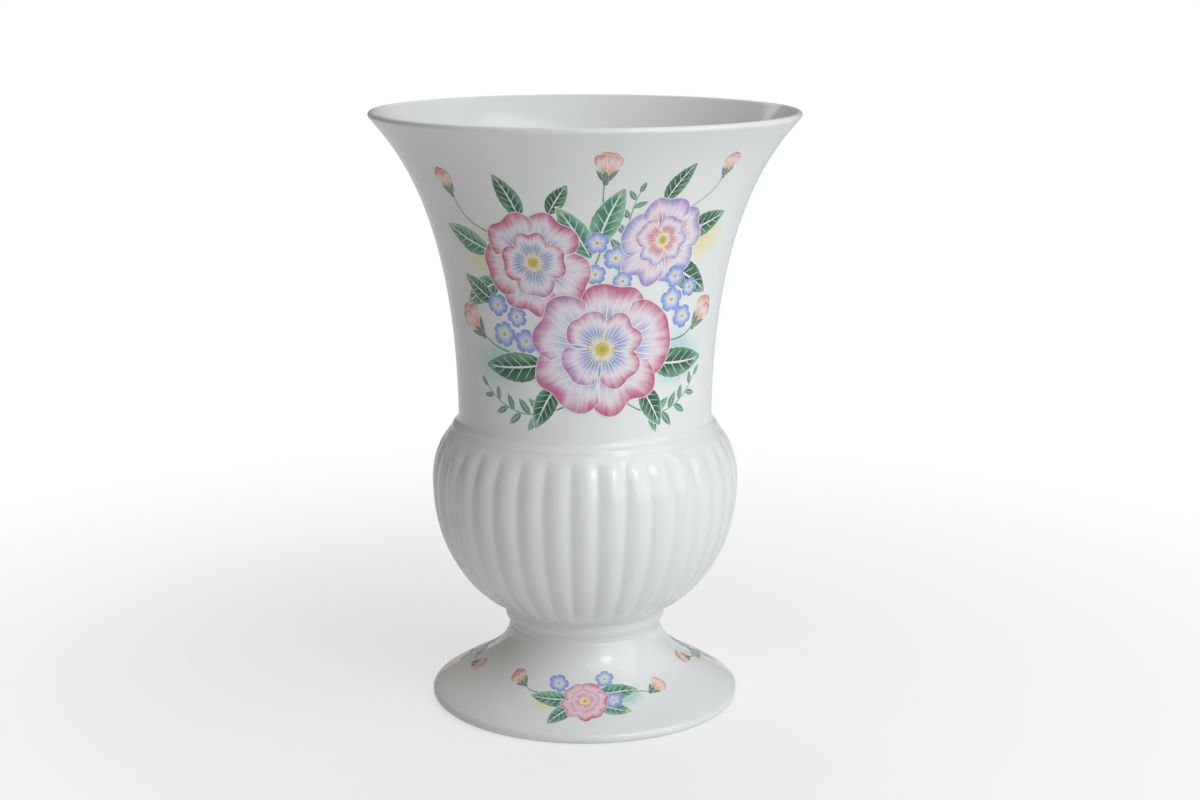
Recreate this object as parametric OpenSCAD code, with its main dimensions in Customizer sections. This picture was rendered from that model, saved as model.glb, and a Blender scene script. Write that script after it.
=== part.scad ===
// Footed flower vase in glazed bone china. It stands on the XY plane, its axis is Z and its front faces -Y.
// Three cast sections stack on one another: a hollow foot, a ribbed bowl and a flared neck.
// A ring of slip joins the foot to the bowl, and a fine bead of clay joins the bowl to the neck.
// Printed transfers lie on the glaze: a large one in front, a smaller one behind, and sprays round the foot.

/* [Foot] */
// Height of the foot, from the table to its seat under the bowl
foot_h = 37.5; // [35:0.5:48]
// Radius of the foot's edge
foot_r = 60.4; // [50:0.1:75]
// Radius of the rounded edge
foot_edge_r = 2; // [1.5:0.1:3.2]
// Slope of the dome where it leaves the edge, in degrees
foot_slope = 33.5; // [25:0.5:42]
// How far the dome follows that slope
foot_reach = 12; // [10:0.5:20]
// Radius of the waist, the narrowest place
waist_r = 29.5; // [24:0.5:35]
// Height of the waist above the table
waist_h = 31; // [28:0.5:33]
// How far the waist's upright line is drawn down into the dome
waist_drop = 14.5; // [8:0.5:18]
// Radius of the bead's round section
bead_r = 4.5; // [3.4:0.1:5]
// How far the bead stands out past the waist
bead_proud = 1.9; // [1.2:0.1:4.5]
// Wall of the stem
foot_wall = 4; // [2.5:0.1:5]
// Width of the ground ring that the vase stands on
ring_w = 4.5; // [2.5:0.1:6]

/* [Bowl] */
// Height of the bowl, from its seat on the foot to its mouth
bowl_h = 70.5; // [60:0.5:90]
// Radius of the bowl over its ribs, at the belly
bowl_r = 59.5; // [55:0.1:72]
// Height of the belly above the bowl's seat
belly_h = 49.5; // [40:0.5:54]
// How far the lower curve turns in from upright, in degrees
lower_sweep = 70; // [60:0.5:78]
// How far the shoulder turns in from upright, in degrees
upper_sweep = 46; // [40:0.5:70]
// How far the bowl stands out past the foot's seat
bowl_overhang = 3.4; // [2:0.1:6]
// Wall of the bowl, measured at a rib's crest
bowl_wall = 3.6; // [3:0.1:5]
// Thickness of the bowl's floor
floor_t = 4; // [3:0.1:6]
// Number of ribs
rib_count = 36; // [24:1:40]
// Depth of the grooves between the ribs
rib_depth = 0.8; // [0.5:0.1:1.6]
// Height of the plain band between the ribs and the mouth
rib_top_gap = 1.5; // [1:0.5:6]
// Height over which a rib fades in at either end
rib_fade = 6; // [3:0.5:8]

/* [Neck] */
// Height of the neck, from its joint with the bowl to the lip
neck_h = 119; // [95:1:145]
// Radius of the neck at its base
neck_r = 49; // [41:0.5:54]
// Radius of the lip
rim_r = 81.5; // [68:0.5:98]
// Thickness of the rounded lip
lip_t = 2.5; // [1.8:0.1:3.2]
// Rise of the flare at the lip, in degrees
lip_rise = 50; // [35:1:65]
// How far the flare follows that rise
lip_reach = 12; // [8:0.5:18]
// How far the base's upright line is drawn up into the flare
neck_draw = 83; // [55:1:90]
// Wall of the neck at its base
neck_wall = 3.2; // [2.4:0.1:4]

/* [Joints] */
// Thickness of the slip between foot and bowl
slip_t = 0.5; // [0.2:0.1:1]
// How far the slip stays back from the seat's edges
slip_inset = 0.4; // [0.2:0.1:1]
// Height of the clay bead between bowl and neck
joint_h = 2.5; // [1.5:0.1:4]
// How far that bead stands out past the neck
joint_proud = 2.3; // [1.3:0.1:3]
// How far the bowl's mouth stands out beyond that bead
shoulder_step = 0.7; // [0:0.1:1.5]

/* [Transfers] */
// Thickness of the fired print
film_t = 0.1; // [0.05:0.01:0.2]
// Angle that the front print covers, in degrees
front_span = 128; // [90:1:150]
// Plain band under the front print, above the neck's base
front_low = 3; // [1:0.5:10]
// Plain band over the front print, below the lip
front_high = 11; // [6:0.5:20]
// Angle that the back print covers, in degrees
back_span = 84; // [60:1:120]
// Plain band under the back print, above the neck's base
back_low = 20; // [10:0.5:30]
// Plain band over the back print, below the lip
back_high = 25; // [15:0.5:35]
// Angle that each foot print covers, in degrees
foot_print_span = 100; // [60:1:110]
// Plain band under the foot prints, above the table
foot_print_low = 6; // [4.5:0.5:9]
// Plain band over the foot prints, below the waist
foot_print_high = 11; // [8:0.5:15]

/* [Hidden] */
$fn = 96;

china = [0.93, 0.93, 0.91];
slip_colour = [0.86, 0.85, 0.82];
front_colour = [0.87, 0.66, 0.72];
back_colour = [0.70, 0.74, 0.88];
foot_print_colour = [0.62, 0.80, 0.74];

// Levels of the joints on the axis
bowl_z = foot_h + slip_t;
belly_z = bowl_z + belly_h;
mouth_z = bowl_z + bowl_h;
neck_z = mouth_z + joint_h;
rim_z = neck_z + neck_h;

// The bead hides the seat between foot and bowl
bead_trim = 47;
bead_centre_r = waist_r + bead_proud - bead_r;
bead_z = foot_h - bead_r * sin(bead_trim);
seat_r = bead_centre_r + bead_r * cos(bead_trim);
stem_bore_r = waist_r - foot_wall;
bowl_foot_r = seat_r + bowl_overhang;

// The mouth of the bowl lines up with the neck's bore, and its shoulder ends just outside the joint bead
bore_r = neck_r - neck_wall;
mouth_r = neck_r + joint_proud + shoulder_step;

// Stretches of the outside that the prints cover
front_range = [neck_z + front_low, rim_z - front_high];
back_range = [neck_z + back_low, rim_z - back_high];
foot_print_range = [foot_print_low, waist_h - foot_print_high];
foot_print_count = 3;

// Steps along each curve
curve_steps = 24;
lower_steps = 10;
upper_steps = 7;
rib_steps = 4;

// A point on a cubic curve through p[0] and p[3], drawn towards p[1] and p[2]
function curve_point(p, t) =
    pow(1 - t, 3) * p[0] + 3 * pow(1 - t, 2) * t * p[1] + 3 * (1 - t) * t * t * p[2] + pow(t, 3) * p[3];

function curve(p, steps = curve_steps) = [for (i = [0 : steps]) curve_point(p, i / steps)];

// Points on a circle's arc between two angles
function arc(centre, r, from, to, steps) =
    [for (i = [0 : steps]) let (a = from + (to - from) * i / steps) centre + r * [cos(a), sin(a)]];

// Points on a stretched arc that starts upright at one radius and height and turns through sweep to another
function sweep_arc(r1, z1, r2, z2, sweep, steps) = [
    for (i = [0 : steps])
        let (a = sweep * i / steps)
        [r1 + (r2 - r1) * (1 - cos(a)) / (1 - cos(sweep)), z1 + (z2 - z1) * sin(a) / sin(sweep)]
];

function reversed(list) = [for (i = [len(list) - 1 : -1 : 0]) list[i]];

function shifted(list, by) = [for (p = list) p + by];

// Points of a curve between two heights
function between(list, range) = [for (p = list) if (p[1] >= range[0] && p[1] <= range[1]) p];

// The foot's outside, from its ground ring round the edge and up the dome to the waist
edge_centre = [foot_r - foot_edge_r, foot_edge_r];
dome_angle = 90 - foot_slope;
dome_start = edge_centre + foot_edge_r * [cos(dome_angle), sin(dome_angle)];
dome = curve([
    dome_start,
    dome_start + foot_reach * [-cos(foot_slope), sin(foot_slope)],
    [waist_r, waist_h - waist_drop],
    [waist_r, waist_h]
]);
foot_edge = arc(edge_centre, foot_edge_r, -90, dome_angle, 8);

// The foot's hollow: the dome's line moved in by the wall, inside the ground ring
ring_inner_r = foot_r - foot_edge_r - ring_w;
hollow_start = dome_start - foot_wall * [sin(foot_slope), cos(foot_slope)];
hollow_line = curve([
    hollow_start,
    hollow_start + foot_reach * [-cos(foot_slope), sin(foot_slope)],
    [stem_bore_r, waist_h - waist_drop - foot_wall / 2],
    [stem_bore_r, waist_h]
]);
hollow = concat([[ring_inner_r, 0]], [for (p = hollow_line) if (p[0] < ring_inner_r) p]);

// The bowl's outside over the crests of its ribs, from its seat to its mouth
bowl_side = concat(
    reversed(sweep_arc(bowl_r, belly_z, bowl_foot_r, bowl_z, lower_sweep, lower_steps)),
    [for (p = sweep_arc(bowl_r, belly_z, mouth_r, mouth_z, upper_sweep, upper_steps)) if (p[1] > belly_z) p]
);

// The bowl's inside, from its floor to its mouth
bowl_inside = concat(
    reversed(sweep_arc(
        bowl_r - bowl_wall, belly_z, bowl_foot_r - bowl_wall, bowl_z + floor_t, lower_sweep, lower_steps
    )),
    [for (p = sweep_arc(bowl_r - bowl_wall, belly_z, bore_r, mouth_z, upper_sweep, upper_steps))
        if (p[1] > belly_z) p]
);

// The neck's lip is a full round, and both of its sides leave the round at a tangent
lip_r = lip_t / 2;
lip_centre = [rim_r - lip_r, rim_z - lip_r];
lip_along = [cos(lip_rise), sin(lip_rise)];
lip_across = lip_r * [sin(lip_rise), -cos(lip_rise)];
neck_outside = curve([
    [neck_r, neck_z],
    [neck_r, neck_z + neck_draw],
    lip_centre + lip_across - lip_reach * lip_along,
    lip_centre + lip_across
]);
neck_inside = curve([
    [bore_r, neck_z],
    [bore_r, neck_z + neck_draw],
    lip_centre - lip_across - lip_reach * lip_along,
    lip_centre - lip_across
]);
lip = arc(lip_centre, lip_r, lip_rise - 90, lip_rise + 90, 10);

// How much of a groove's depth shows at a height: none at the seat or under the mouth
function rib_share(z) =
    let (low = (z - bowl_z) / rib_fade, high = (mouth_z - rib_top_gap - z) / rib_fade)
    max(0, min(1, low, high));

// Radius of the ribbed outside at a row's point, a share of the way across a rib
function rib_radius(p, across) = p[0] - rib_depth * rib_share(p[1]) * (1 - sin(180 * across));

module foot() {
    color(china)
        rotate_extrude()
        difference() {
            union() {
                polygon(concat(foot_edge, dome, [[waist_r, foot_h], [0, foot_h], [0, 0]]));
                intersection() {
                    translate([bead_centre_r, bead_z]) circle(bead_r);
                    square([foot_r, foot_h]);
                }
            }
            polygon(concat([[0, 0]], hollow, [[stem_bore_r, foot_h], [0, foot_h]]));
        }
}

module foot_slip() {
    color(slip_colour)
        translate([0, 0, foot_h])
        rotate_extrude()
        translate([stem_bore_r + slip_inset, 0])
        square([seat_r - stem_bore_r - 2 * slip_inset, slip_t]);
}

// The bowl's ribbed outside as one closed solid, row by row from the seat to the mouth
module ribbed_body() {
    columns = rib_count * rib_steps;
    rows = len(bowl_side);
    // The front lies on a rib's crest, so the first groove is half a rib to its left
    points = [
        for (p = bowl_side, c = [0 : columns - 1])
            let (
                a = (c / rib_steps - 0.5) * 360 / rib_count - 90,
                r = rib_radius(p, (c % rib_steps) / rib_steps)
            )
            [r * cos(a), r * sin(a), p[1]]
    ];
    function at(row, c) = row * columns + c % columns;
    sides = [
        for (row = [0 : rows - 2], c = [0 : columns - 1], half = [0, 1])
            half == 0
                ? [at(row, c), at(row + 1, c), at(row + 1, c + 1)]
                : [at(row, c), at(row + 1, c + 1), at(row, c + 1)]
    ];
    seat = [[for (c = [0 : columns - 1]) at(0, c)]];
    mouth = [[for (c = [columns - 1 : -1 : 0]) at(rows - 1, c)]];
    polyhedron(points, concat(sides, seat, mouth));
}

module bowl() {
    above_mouth = mouth_z + 1;
    color(china)
        difference() {
            ribbed_body();
            rotate_extrude()
                polygon(concat(
                    [[0, bowl_z + floor_t]], bowl_inside, [[bore_r, above_mouth], [0, above_mouth]]
                ));
        }
}

// A fine rounded ridge that covers the seam between the bowl's mouth and the neck's base
module neck_joint_bead() {
    ridge_r = joint_h / 2;
    color(china)
        translate([0, 0, mouth_z])
        rotate_extrude()
        union() {
            translate([bore_r, 0]) square([neck_r + joint_proud - ridge_r - bore_r, joint_h]);
            translate([neck_r + joint_proud - ridge_r, ridge_r]) circle(ridge_r);
        }
}

module neck() {
    color(china)
        rotate_extrude()
        polygon(concat(neck_outside, lip, reversed(neck_inside)));
}

// A print film that lies on a stretch of an outside curve and turns through span, centred on a direction
module film(side, span, direction) {
    rotate([0, 0, direction - span / 2])
        rotate_extrude(angle = span)
        polygon(concat(side, reversed(shifted(side, [film_t, 0]))));
}

module front_transfer() {
    color(front_colour)
        film(between(neck_outside, front_range), front_span, -90);
}

module back_transfer() {
    color(back_colour)
        film(between(neck_outside, back_range), back_span, 90);
}

module foot_transfer(number) {
    color(foot_print_colour)
        film(between(dome, foot_print_range), foot_print_span, -90 + (number - 1) * 360 / foot_print_count);
}

foot();
foot_slip();
bowl();
neck_joint_bead();
neck();
front_transfer();
back_transfer();
for (number = [1 : foot_print_count])
    foot_transfer(number);
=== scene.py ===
# %% [markdown]
# # A footed china vase with a printed bouquet
# The vase is three cast sections of bone china that stand on one another: a hollow foot, a ribbed bowl
# and a flared neck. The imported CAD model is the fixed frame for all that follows: it says where each
# section starts and ends, in metres, with +Z up and the front towards -Y.

# %% Load the frame
import bisect
import math
import random

import bpy
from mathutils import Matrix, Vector


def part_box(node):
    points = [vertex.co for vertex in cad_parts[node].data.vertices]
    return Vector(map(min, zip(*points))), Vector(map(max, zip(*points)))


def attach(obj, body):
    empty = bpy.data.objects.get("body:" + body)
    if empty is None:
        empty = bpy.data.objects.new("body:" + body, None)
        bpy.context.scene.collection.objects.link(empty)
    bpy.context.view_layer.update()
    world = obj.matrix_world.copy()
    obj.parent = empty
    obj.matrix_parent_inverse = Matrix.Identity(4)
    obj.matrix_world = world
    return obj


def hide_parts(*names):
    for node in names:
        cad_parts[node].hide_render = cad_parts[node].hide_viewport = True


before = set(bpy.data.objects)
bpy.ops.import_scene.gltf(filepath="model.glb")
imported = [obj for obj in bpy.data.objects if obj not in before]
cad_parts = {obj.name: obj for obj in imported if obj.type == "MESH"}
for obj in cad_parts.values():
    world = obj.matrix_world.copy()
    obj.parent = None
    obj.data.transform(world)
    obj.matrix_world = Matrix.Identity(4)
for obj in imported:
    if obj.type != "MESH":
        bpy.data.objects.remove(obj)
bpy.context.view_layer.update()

# %% [markdown]
# ## Camera
# The vase's outline was fitted with a camera that stands in front of it, a little above the lip, and
# looks down by about twelve degrees. The picture is 1200 by 800, and the vase stands a little left of
# its middle, which is a small sideways shift of the lens.

# %% Camera
PHOTO_WIDTH = 1200
AXIS_LEFT_OF_MIDDLE = 15
camera_distance = 0.7803
camera_height = 0.2906
camera_pitch = math.radians(12.47)

bpy.ops.object.select_all(action="DESELECT")
bpy.ops.object.camera_add(
    location=(0, -camera_distance, camera_height),
    rotation=(math.radians(90) - camera_pitch, 0, 0),
)
camera = bpy.context.object
camera.data.sensor_width = 36
camera.data.lens = 61.8
camera.data.shift_x = AXIS_LEFT_OF_MIDDLE / PHOTO_WIDTH
bpy.context.scene.camera = camera
bpy.context.scene.view_settings.view_transform = "Standard"
print("camera at", tuple(camera.location))

# %% [markdown]
# ## Shader arithmetic
# A finish is a sum of many small terms, and a long chain of nodes is hard to read. The class below
# wraps one socket, so that an ordinary expression such as `1 - mask * 0.5` adds the Math nodes by
# itself. Every other node comes from its one method, `add`: the node's type, its settings, and the
# values or links of its sockets.

# %% Sockets as values
class Wire:
    """One output socket of a material's nodes."""

    def __init__(self, tree, socket):
        self.tree = tree
        self.socket = socket

    def add(self, kind, settings=None, inputs=None, output=0):
        node = self.tree.nodes.new("ShaderNode" + kind)
        for name, value in (settings or {}).items():
            setattr(node, name, value)
        for place, value in (inputs or {}).items():
            if isinstance(value, Wire):
                self.tree.links.new(value.socket, node.inputs[place])
            else:
                node.inputs[place].default_value = value
        return Wire(self.tree, node.outputs[output])

    def math(self, operation, *values):
        return self.add("Math", {"operation": operation}, dict(enumerate(values)))

    def __add__(self, other):
        return self.math("ADD", self, other)

    def __sub__(self, other):
        return self.math("SUBTRACT", self, other)

    def __rsub__(self, other):
        return self.math("SUBTRACT", other, self)

    def __mul__(self, other):
        return self.math("MULTIPLY", self, other)

    def __truediv__(self, other):
        return self.math("DIVIDE", self, other)

    def __abs__(self):
        return self.math("ABSOLUTE", self)

    __radd__ = __add__
    __rmul__ = __mul__

    def most(self, other):
        return self.math("MAXIMUM", self, other)

    def rise(self, low, high):
        """0 below low, 1 above high, and a smooth rise between them; low may be the larger one."""
        return self.add("MapRange", {"interpolation_type": "SMOOTHSTEP"}, {0: self, 1: low, 2: high})

    def blend(self, under, over):
        """This value as the share of a second colour over a first one."""
        return self.add("Mix", {"data_type": "RGBA"}, {0: self, 6: under, 7: over}, output=2)

    def noise(self, scale, detail=2.0, stretch=(1, 1, 1)):
        place = self.add("Mapping", {}, {"Vector": self, "Scale": stretch})
        return self.add("TexNoise", {}, {"Vector": place, "Scale": scale, "Detail": detail})


def rgb(red, green, blue):
    """A colour as seen on screen, from 0 to 255, as the linear colour that a shader takes."""
    linear = [((c / 255 + 0.055) / 1.055) ** 2.4 if c > 10 else c / 255 / 12.92 for c in (red, green, blue)]
    return (*linear, 1)


def new_finish(name):
    """A new material: its Principled shader and its Object coordinates."""
    material = bpy.data.materials.new(name)
    material.use_nodes = True
    tree = material.node_tree
    shader = tree.nodes["Principled BSDF"]
    place = Wire(tree, tree.nodes.new("ShaderNodeTexCoord").outputs["Object"])
    return material, shader, place


def feed(wire, shader, socket):
    wire.tree.links.new(wire.socket, shader.inputs[socket])


print("shader helpers ready")

# %% [markdown]
# ## China under a clear glaze
# Bone china is a warm white body under a clear, glossy glaze. Up close the glaze isn't even: it carries
# a broad, faint tint, it ripples like orange peel, and a few iron specks show through. Grooves and
# joints are painted a darker grey: partly for glaze pooled there, partly as painted shade for the
# shadow that falls in these creases. They are marked on the mesh by an attribute, so that the painted
# shade follows the shape. The foot ring is ground after firing, so there the bare body shows, dull and
# a little grey.

# %% Glaze
GLAZE_IOR = 1.52
WARM_BODY = (0.865, 0.857, 0.835, 1)
COOL_BODY = (0.842, 0.842, 0.828, 1)
# painted shade: the grey of glaze pooled in grooves and joints and of the shade that falls in them
POOLED_AND_SHADED = (0.69, 0.70, 0.69, 1)
IRON = (0.30, 0.24, 0.18, 1)
GROUND_PALE = (0.70, 0.68, 0.64, 1)
GROUND_DARK = (0.56, 0.54, 0.50, 1)
GROUND_ROUGH = 0.8
RIPPLE = 0.035


def glaze_colour(place):
    """The colour of the china through its glaze, at a place on it."""
    body = place.noise(14, 3).rise(0.35, 0.65).blend(WARM_BODY, COOL_BODY)
    # Grooves and joints are painted darker here: partly glaze pooling, partly painted shade.
    pool_and_shade = place.add("Attribute", {"attribute_name": "pool_and_shade"}, output=2)
    pooled_and_shaded = (pool_and_shade * 0.5).blend(body, POOLED_AND_SHADED)
    speck_spot = place.add("TexVoronoi", {}, {"Vector": place, "Scale": 95})
    speck_some = place.noise(31, 0).rise(0.62, 0.66)
    return (speck_spot.rise(0.021, 0.012) * speck_some * 0.55).blend(pooled_and_shaded, IRON)


def glaze_ripple(place):
    """The faint ripple of a poured glaze, as a normal."""
    height = place.noise(170, 1) + place.noise(520, 1) * 0.25
    return place.add("Bump", {}, {"Strength": RIPPLE, "Distance": 0.001, "Height": height})


def glaze_gloss(place):
    """The roughness of the glaze, which is a little duller in patches."""
    return 0.09 + place.noise(40, 2) * 0.08


def make_china(name, ground=False):
    """Glazed china. Where it is ground, the lowest half millimetre is bare and dull."""
    material, shader, place = new_finish(name)
    colour = glaze_colour(place)
    gloss = glaze_gloss(place)
    if ground:
        height = place.add("SeparateXYZ", {}, {0: place}, output=2)
        bare = (height + place.noise(900, 2) * 0.0004).rise(0.0006, 0.0004)
        dust = place.noise(1500, 3).rise(0.3, 0.8).blend(GROUND_PALE, GROUND_DARK)
        colour = bare.blend(colour, dust)
        gloss = gloss * (1 - bare) + bare * GROUND_ROUGH
    feed(colour, shader, "Base Color")
    feed(gloss, shader, "Roughness")
    feed(glaze_ripple(place), shader, "Normal")
    shader.inputs["IOR"].default_value = GLAZE_IOR
    return material


china = make_china("bone_china_glaze")
ground_china = make_china("bone_china_ground_foot", ground=True)
print("glazes:", china.name, ground_china.name)

# %% [markdown]
# ## Turning a section
# Each china section is round, as it leaves its plaster mould, so one outline turned about the axis is
# its whole shape. A lathe would do that with the Screw modifier; here the outline is drawn by extruding
# one vertex from point to point, and Spin turns it, which leaves a plain mesh with its place in its
# vertices. The last ring lands on the first, so the doubles are merged, and then the normals are made
# to point outwards. Shading is smooth but for true corners, so that where two sections meet the glaze
# runs on without a line.

# %% Outlines and the lathe
MM = 0.001
CORNER = math.radians(35)
TURN_STEPS = 240


def curve(start, start_handle, end_handle, end, steps):
    """Points of a cubic curve, as (radius, height)."""
    points = []
    for i in range(steps + 1):
        t = i / steps
        s = 1 - t
        points.append(start * s**3 + start_handle * 3 * s * s * t + end_handle * 3 * s * t * t + end * t**3)
    return points


def arc(centre, radius, first, last, steps):
    """Points of a round stretch between two angles in degrees."""
    angles = [math.radians(first + (last - first) * i / steps) for i in range(steps + 1)]
    return [centre + Vector((math.cos(a), math.sin(a))) * radius for a in angles]


def swept(start, end, sweep, steps):
    """Points of a stretched arc that starts upright and turns through sweep degrees."""
    points = []
    for i in range(steps + 1):
        a = math.radians(sweep * i / steps)
        across = (1 - math.cos(a)) / (1 - math.cos(math.radians(sweep)))
        along = math.sin(a) / math.sin(math.radians(sweep))
        points.append(Vector((start.x + (end.x - start.x) * across, start.y + (end.y - start.y) * along)))
    return points


def draw_outline(name, outline):
    """A chain of edges through the outline's points, extruded from one vertex. It stays in edit mode."""
    bpy.ops.object.select_all(action="DESELECT")
    bpy.ops.mesh.primitive_plane_add(size=MM)
    obj = bpy.context.object
    obj.name = name
    obj.data.name = name
    bpy.ops.object.mode_set(mode="EDIT")
    bpy.ops.mesh.select_all(action="SELECT")
    bpy.ops.mesh.merge(type="CENTER")
    bpy.ops.transform.translate(value=(outline[0].x, 0, outline[0].y))
    for a, b in zip(outline, outline[1:]):
        bpy.ops.mesh.extrude_region_move(TRANSFORM_OT_translate={"value": (b.x - a.x, 0, b.y - a.y)})
    bpy.ops.mesh.select_all(action="SELECT")
    return obj


def close_up():
    """Merges what meets and points the faces outwards, in edit mode, then goes back to object mode."""
    bpy.ops.mesh.select_all(action="SELECT")
    bpy.ops.mesh.remove_doubles(threshold=0.002 * MM)
    bpy.ops.mesh.normals_make_consistent(inside=False)
    bpy.ops.object.mode_set(mode="OBJECT")
    bpy.ops.object.shade_smooth_by_angle(angle=CORNER)


def turn_section(name, outline, steps=TURN_STEPS):
    """A round section: the outline turned once about the axis."""
    obj = draw_outline(name, outline)
    bpy.ops.mesh.spin(steps=steps, angle=math.tau, center=(0, 0, 0), axis=(0, 0, 1))
    close_up()
    print(name, len(obj.data.polygons), "faces")
    return obj


def mark_pool_and_shade(obj, height, reach, inside, most):
    """Marks a crease's glaze pooling and painted shade outside a radius: most at one height, none at a
    reach above and below.
    """
    pool_and_shade = obj.data.attributes.new("pool_and_shade", "FLOAT", "POINT")
    for vertex in obj.data.vertices:
        if math.hypot(vertex.co.x, vertex.co.y) > inside:
            pool_and_shade.data[vertex.index].value = most * max(0, 1 - abs(vertex.co.z - height) / reach)


def place_section(obj, finish, node):
    obj.data.materials.append(finish)
    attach(obj, "root")
    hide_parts(node)


print("lathe ready")

# %% [markdown]
# ## The neck
# The neck is a tall flared cylinder with a thin, fully rounded lip. Its outside and inside are two
# cubic curves that leave the lip's round at a tangent. At its base the wall runs out to the bowl's
# shoulder in a hollow, with a low ridge of clay over the joint. One formula gives that line, so that
# neck, ridge and bowl share it without a step.

# %% Neck
neck_low, neck_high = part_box("neck")
neck_z = neck_low.z
rim_z = neck_high.z
rim_r = neck_high.x
neck_r = 49 * MM
bore_r = 45.8 * MM
neck_draw = 83 * MM
lip_r = 1.25 * MM
lip_rise = 50
lip_reach = 12 * MM
joint_low, joint_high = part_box("neck_joint_bead")
hollow_r = 8 * MM
hollow_top = neck_z + 3.4 * MM
shoulder_turn = math.radians(43)
ridge_z = joint_low.z + 1.3 * MM
ridge_half = 1.2 * MM
ridge_rise = 0.75 * MM

lip_centre = Vector((rim_r - lip_r, rim_z - lip_r))
lip_along = Vector((math.cos(math.radians(lip_rise)), math.sin(math.radians(lip_rise)))) * lip_reach
lip_across = Vector((lip_along.y, -lip_along.x)) * (lip_r / lip_reach)


def neck_line(radius, lip_end, steps):
    """One side of the neck's wall, from its base up to the lip."""
    base = Vector((radius, neck_z))
    return curve(base, base + Vector((0, neck_draw)), lip_end - lip_along, lip_end, steps)


def joint_reach(height):
    """The outside's radius at the joint: a hollow from the wall to the shoulder, with a low ridge."""
    down = max(0, hollow_top - height)
    bend = min(down, hollow_r * math.sin(shoulder_turn))
    hollow = hollow_r - math.sqrt(hollow_r**2 - bend**2) + (down - bend) * math.tan(shoulder_turn)
    return neck_r + hollow + ridge_rise * math.exp(-(((height - ridge_z) / ridge_half) ** 2))


def joint_line(low, high, steps):
    """The outside of the joint from one height up to another."""
    heights = [low + (high - low) * i / steps for i in range(steps + 1)]
    return [Vector((joint_reach(height), height)) for height in heights]


neck_outside = neck_line(neck_r, lip_centre + lip_across, steps=64)
neck_inside = neck_line(bore_r, lip_centre - lip_across, steps=48)
neck_outline = (
    joint_line(neck_z, hollow_top, steps=14)
    + [p for p in neck_outside if p.y > hollow_top + MM]
    + arc(lip_centre, lip_r, lip_rise - 90, lip_rise + 90, steps=14)[1:-1]
    + neck_inside[::-1]
    + [Vector((joint_reach(neck_z), neck_z))]
)
neck = turn_section("neck_china", neck_outline)
place_section(neck, china, "neck")

# %% [markdown]
# ## The ribbed bowl
# The bowl is ribbed all round with rounded gadroons, as if rods stood side by side: each has a full
# round top end under a plain band, and narrow grooves part them. One rib is a slice of the bowl, spun
# through ten degrees and shaped by a formula, because no brush gives thirty-six equal ribs. The slice
# is then repeated round the axis by a second Spin that copies, and its edges are merged. The depth that
# is left under the crests, and the crease at the mouth, are kept as an attribute that paints them
# darker: glaze pooling and painted shade. At the mouth the plain band blends into the joint's own line.

# %% Bowl outline
bowl_low, bowl_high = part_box("bowl")
bowl_z = bowl_low.z
mouth_z = bowl_high.z
bowl_r = bowl_high.x
belly_z = bowl_z + 49.5 * MM
bowl_foot_r = 33.37 * MM
mouth_r = 52 * MM
bowl_wall = 3.6 * MM
floor_t = 4 * MM
seat_round = 3 * MM
flat_r = 20 * MM
low_sweep = 70
high_sweep = 46

belly = Vector((bowl_r, belly_z))
bowl_side = swept(belly, Vector((bowl_foot_r, bowl_z)), low_sweep, steps=44)[::-1]
bowl_side += swept(belly, Vector((mouth_r, mouth_z)), high_sweep, steps=40)[1:]
inner_belly = belly - Vector((bowl_wall, 0))
inner_z = bowl_z + floor_t
bowl_inside = swept(inner_belly, Vector((bowl_foot_r - bowl_wall, inner_z)), low_sweep, steps=16)[::-1]
bowl_inside += swept(inner_belly, Vector((bore_r, mouth_z)), high_sweep, steps=10)[1:]
bowl_outline = [Vector((reach, bowl_z)) for reach in (0, flat_r, bowl_foot_r - seat_round)]
bowl_outline += bowl_side + bowl_inside[::-1] + [Vector((flat_r, inner_z)), Vector((0, inner_z))]
print("bowl outline", len(bowl_outline), "points")

# %% Ribs
RIBS = 36
RIB_COLUMNS = 14
rib_depth = 0.8 * MM
rib_top = mouth_z - 1.6 * MM
rib_foot = bowl_z + 0.6 * MM
rib_end = 6.5 * MM
groove_round = 0.22
band_level = 0.3
pitch = math.tau / RIBS
blend_h = 3 * MM


def ease(share):
    """A share from 0 to 1 that leaves 0 and reaches 1 softly."""
    return share**2 * (3 - 2 * share)


def reach_at(line, height):
    """The radius of a line at a height."""
    for a, b in zip(line, line[1:]):
        if a.y <= height <= b.y:
            return a.x + (b.x - a.x) * (height - a.y) / max(b.y - a.y, 1e-9)
    return line[-1].x if height > line[-1].y else line[0].x


def run_between(line, low, high):
    """The length along a line from one height to another."""
    steps = 24
    heights = [low + (high - low) * i / steps for i in range(steps + 1)]
    points = [Vector((reach_at(line, h), h)) for h in heights]
    return sum((b - a).length for a, b in zip(points, points[1:]))


def rib_height(angle, height):
    """How far a place on the bowl stands out, 0 in a groove and 1 on a crest, and the groove's depth."""
    across = abs(math.sin(math.pi * ((angle / pitch + 0.5) % 1)))
    top = min(1, run_between(bowl_side, height, rib_top) / rib_end) if height < rib_top else 0
    foot = min(1, run_between(bowl_side, rib_foot, height) / rib_end) if height > rib_foot else 0
    end = math.sqrt(1 - (1 - top) ** 2) * math.sqrt(1 - (1 - foot) ** 2)
    lifted = math.sqrt((across * end) ** 2 + groove_round**2) - groove_round
    rod = lifted / (math.sqrt(1 + groove_round**2) - groove_round)
    band = band_level * (1 - ease(min(top, foot)))
    return rod + band * (1 - rod), max(0, 1 - rod * 2.2) ** 2 * min(top, foot)


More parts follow.
